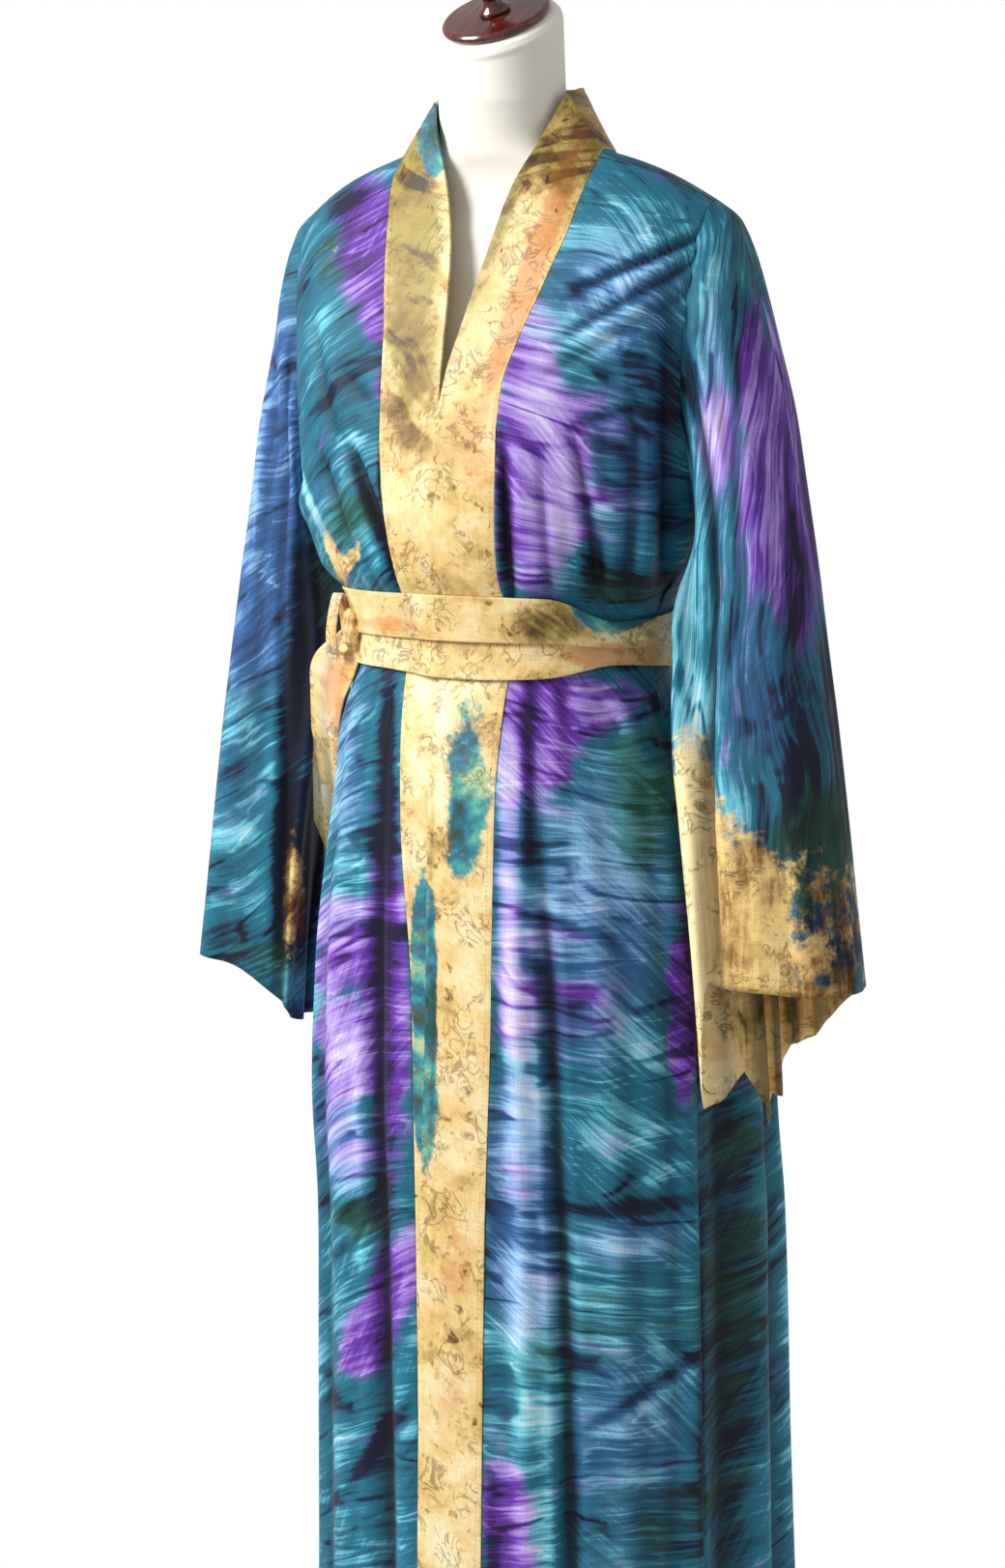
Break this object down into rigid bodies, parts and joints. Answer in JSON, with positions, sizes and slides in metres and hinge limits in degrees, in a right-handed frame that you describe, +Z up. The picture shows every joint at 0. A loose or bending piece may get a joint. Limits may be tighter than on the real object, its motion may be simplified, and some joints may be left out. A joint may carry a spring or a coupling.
{
  "type": "kimono duster on a dress form",
  "caption": "Marbled full-length kimono duster with gold neckband and sash, standing on a limbless dress form with a wooden neck cap.",
  "frame": {"origin": "centre of the base's underside, on the floor", "axes": "+Z up; the robe's front faces -Y; the wearer's left is +X"},
  "size_m": [0.645, 0.3696, 1.6194],
  "materials": {
    "silk": "satin",
    "gold_silk": "satin",
    "jersey": "matte",
    "mahogany": "gloss",
    "stand_metal": "satin"
  },
  "bodies": {
    "root": {"back": "silk", "front_left": "silk", "front_right": "silk", "sleeve_left": "silk", "sleeve_right": "silk", "band_left": "gold_silk", "band_right": "gold_silk", "belt_turn_upper": "gold_silk", "belt_turn_lower": "gold_silk", "belt_knot": "gold_silk", "belt_loop": "gold_silk", "belt_end_front": "gold_silk", "belt_end_back": "gold_silk", "form_torso": "jersey", "neck_cap": "mahogany", "finial": "mahogany", "stand_pole": "stand_metal", "stand_base": "stand_metal"}
  },
  "joints": []
}
